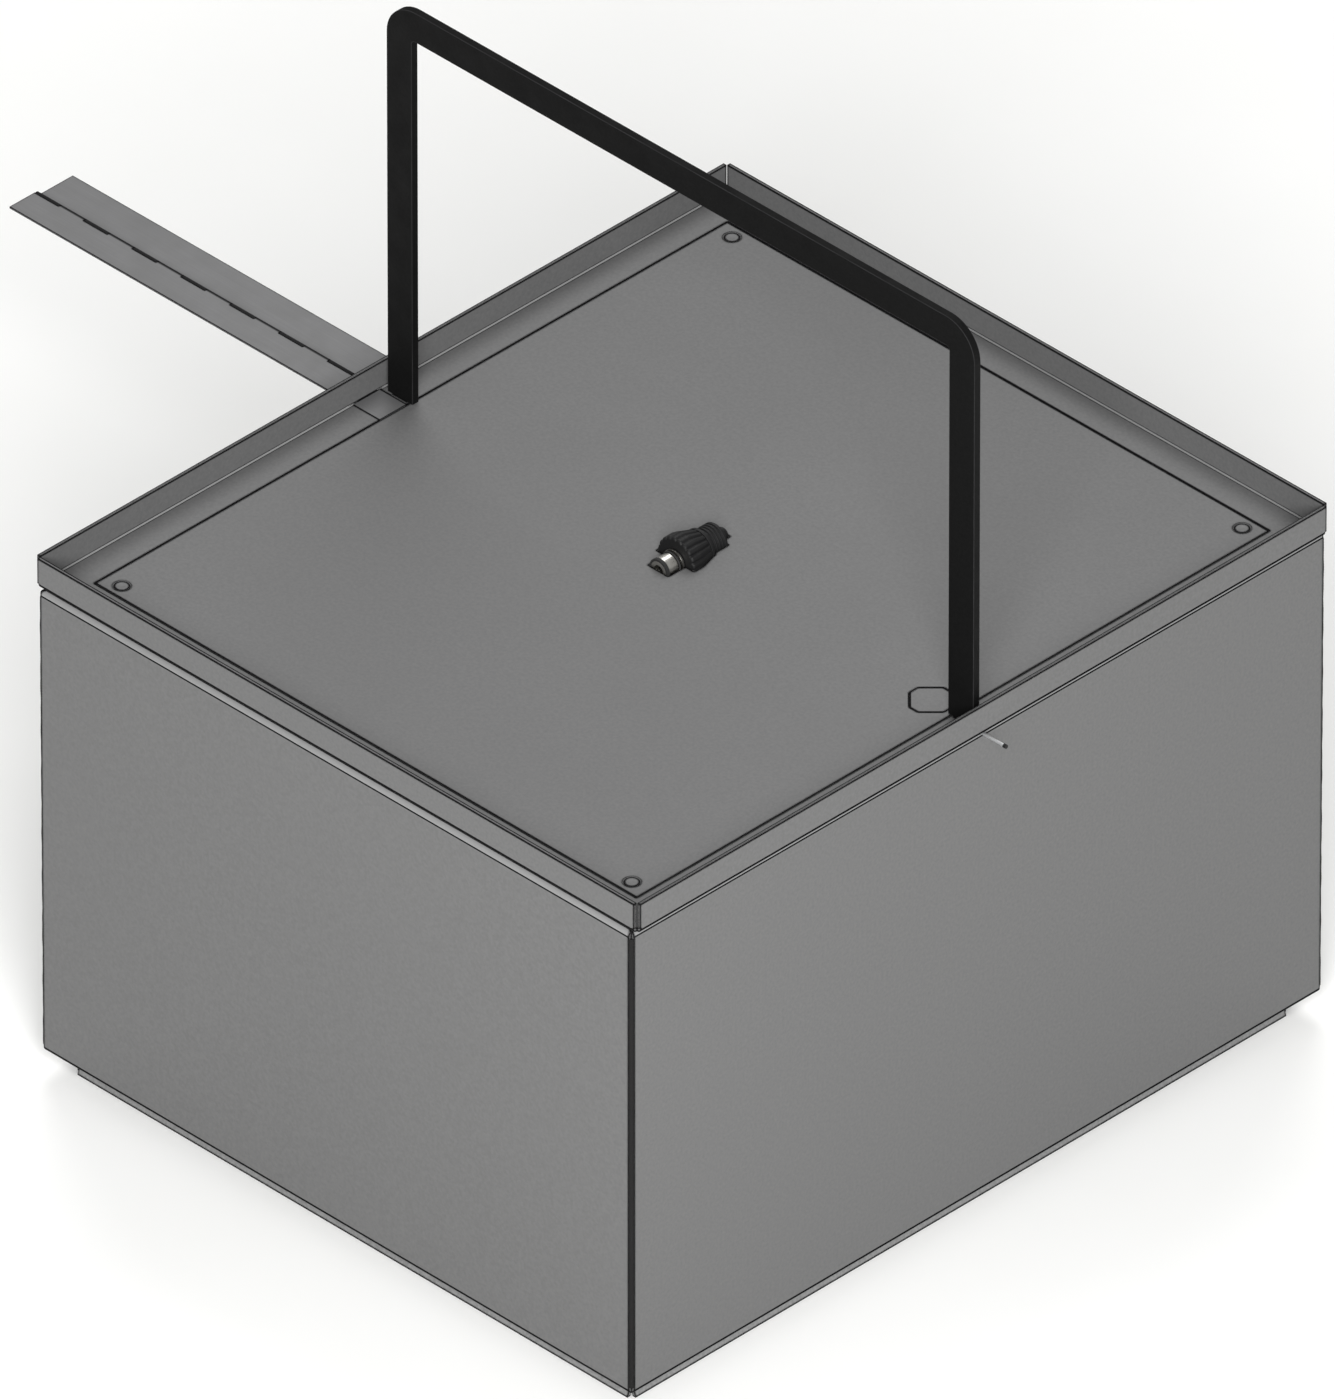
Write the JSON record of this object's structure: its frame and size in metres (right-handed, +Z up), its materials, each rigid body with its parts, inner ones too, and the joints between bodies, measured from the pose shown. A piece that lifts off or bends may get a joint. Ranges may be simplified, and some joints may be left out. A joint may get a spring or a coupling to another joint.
{
  "type": "hydraulic reservoir",
  "caption": "Folded-sheet hydraulic oil tank with a drip-tray top, flush cover, breather, flat-bar lifting hoop and an overhanging piano hinge.",
  "frame": {"origin": "centre of the tank's footprint, on the floor", "axes": "+Z up; +X along the lifting hoop, away from the piano hinge; +Y towards the wall with the ports"},
  "size_m": [0.979, 0.732, 0.77],
  "materials": {
    "painted_steel": "satin powder coat",
    "painted_fastener": "satin",
    "black_bar": "satin powder coat",
    "hinge_steel": "satin",
    "bare_steel": "mill",
    "zinc_steel": "bright zinc",
    "plated_brass": "nickel plated",
    "sintered_bronze": "sintered",
    "copper": "soft copper",
    "strainer_mesh": "woven mesh",
    "magnet": "nickel plated",
    "black_plastic": "moulded",
    "seal_rubber": "matte",
    "clear_acrylic": "clear"
  },
  "bodies": {
    "tank": {"back_wall": "painted_steel", "baffle_plate": "bare_steel", "base_channel": "painted_steel", "bottom_plate": "painted_steel", "breather_cap": "black_plastic", "breather_element": "sintered_bronze", "breather_end_ring": "seal_rubber", "breather_neck": "zinc_steel", "breather_saddles": "zinc_steel", "breather_seal": "seal_rubber", "breather_stub": "plated_brass", "breather_tail": "black_plastic", "breather_washer": "plated_brass", "breather_well": "zinc_steel", "corner_welds": "painted_steel", "cover_gasket": "seal_rubber", "cover_plate": "painted_steel", "cover_screws": "painted_fastener", "drain_boss": "painted_steel", "drain_plug": "zinc_steel", "drain_washer": "copper", "drip_tray": "painted_steel", "front_wall": "painted_steel", "gauge_body": "black_plastic", "gauge_bolts": "zinc_steel", "gauge_nuts": "zinc_steel", "gauge_seals": "seal_rubber", "gauge_tube": "clear_acrylic", "hinge_fixed_leaf": "hinge_steel", "hinge_pin": "hinge_steel", "hoop_dowel": "zinc_steel", "left_wall": "painted_steel", "lifting_hoop": "black_bar", "probe_magnet": "magnet", "probe_nut": "zinc_steel", "probe_plug": "painted_steel", "return_boss": "painted_steel", "return_pipe": "bare_steel", "right_wall": "painted_steel", "skirt_back": "painted_steel", "skirt_front": "painted_steel", "skirt_left": "painted_steel", "skirt_right": "painted_steel", "socket_caps": "painted_fastener", "suction_boss": "painted_steel", "suction_pipe": "bare_steel", "suction_strainer": "strainer_mesh", "weld_nuts": "zinc_steel"},
    "leaf": {"hinge_moving_leaf": "hinge_steel"},
    "knob": {"breather_knob": "black_plastic"},
    "pin": {"lock_pin": "zinc_steel", "lock_pin_cap": "black_plastic"}
  },
  "joints": [
    {"name": "leaf_swing", "type": "hinge", "parent": "tank", "child": "leaf", "pos_m": [-0.4805, -0.0055, 0.42425], "axis": [1, 0, 0], "range_deg": [-110, 110]},
    {"name": "knob_turn", "type": "hinge", "parent": "tank", "child": "knob", "pos_m": [0, 0, 0.427], "axis": [0, 1, 0], "range_deg": [0, 90]},
    {"name": "pin_pull", "type": "slide", "parent": "tank", "child": "pin", "axis": [1, 0, 0], "range_m": [0, 0.018]}
  ]
}
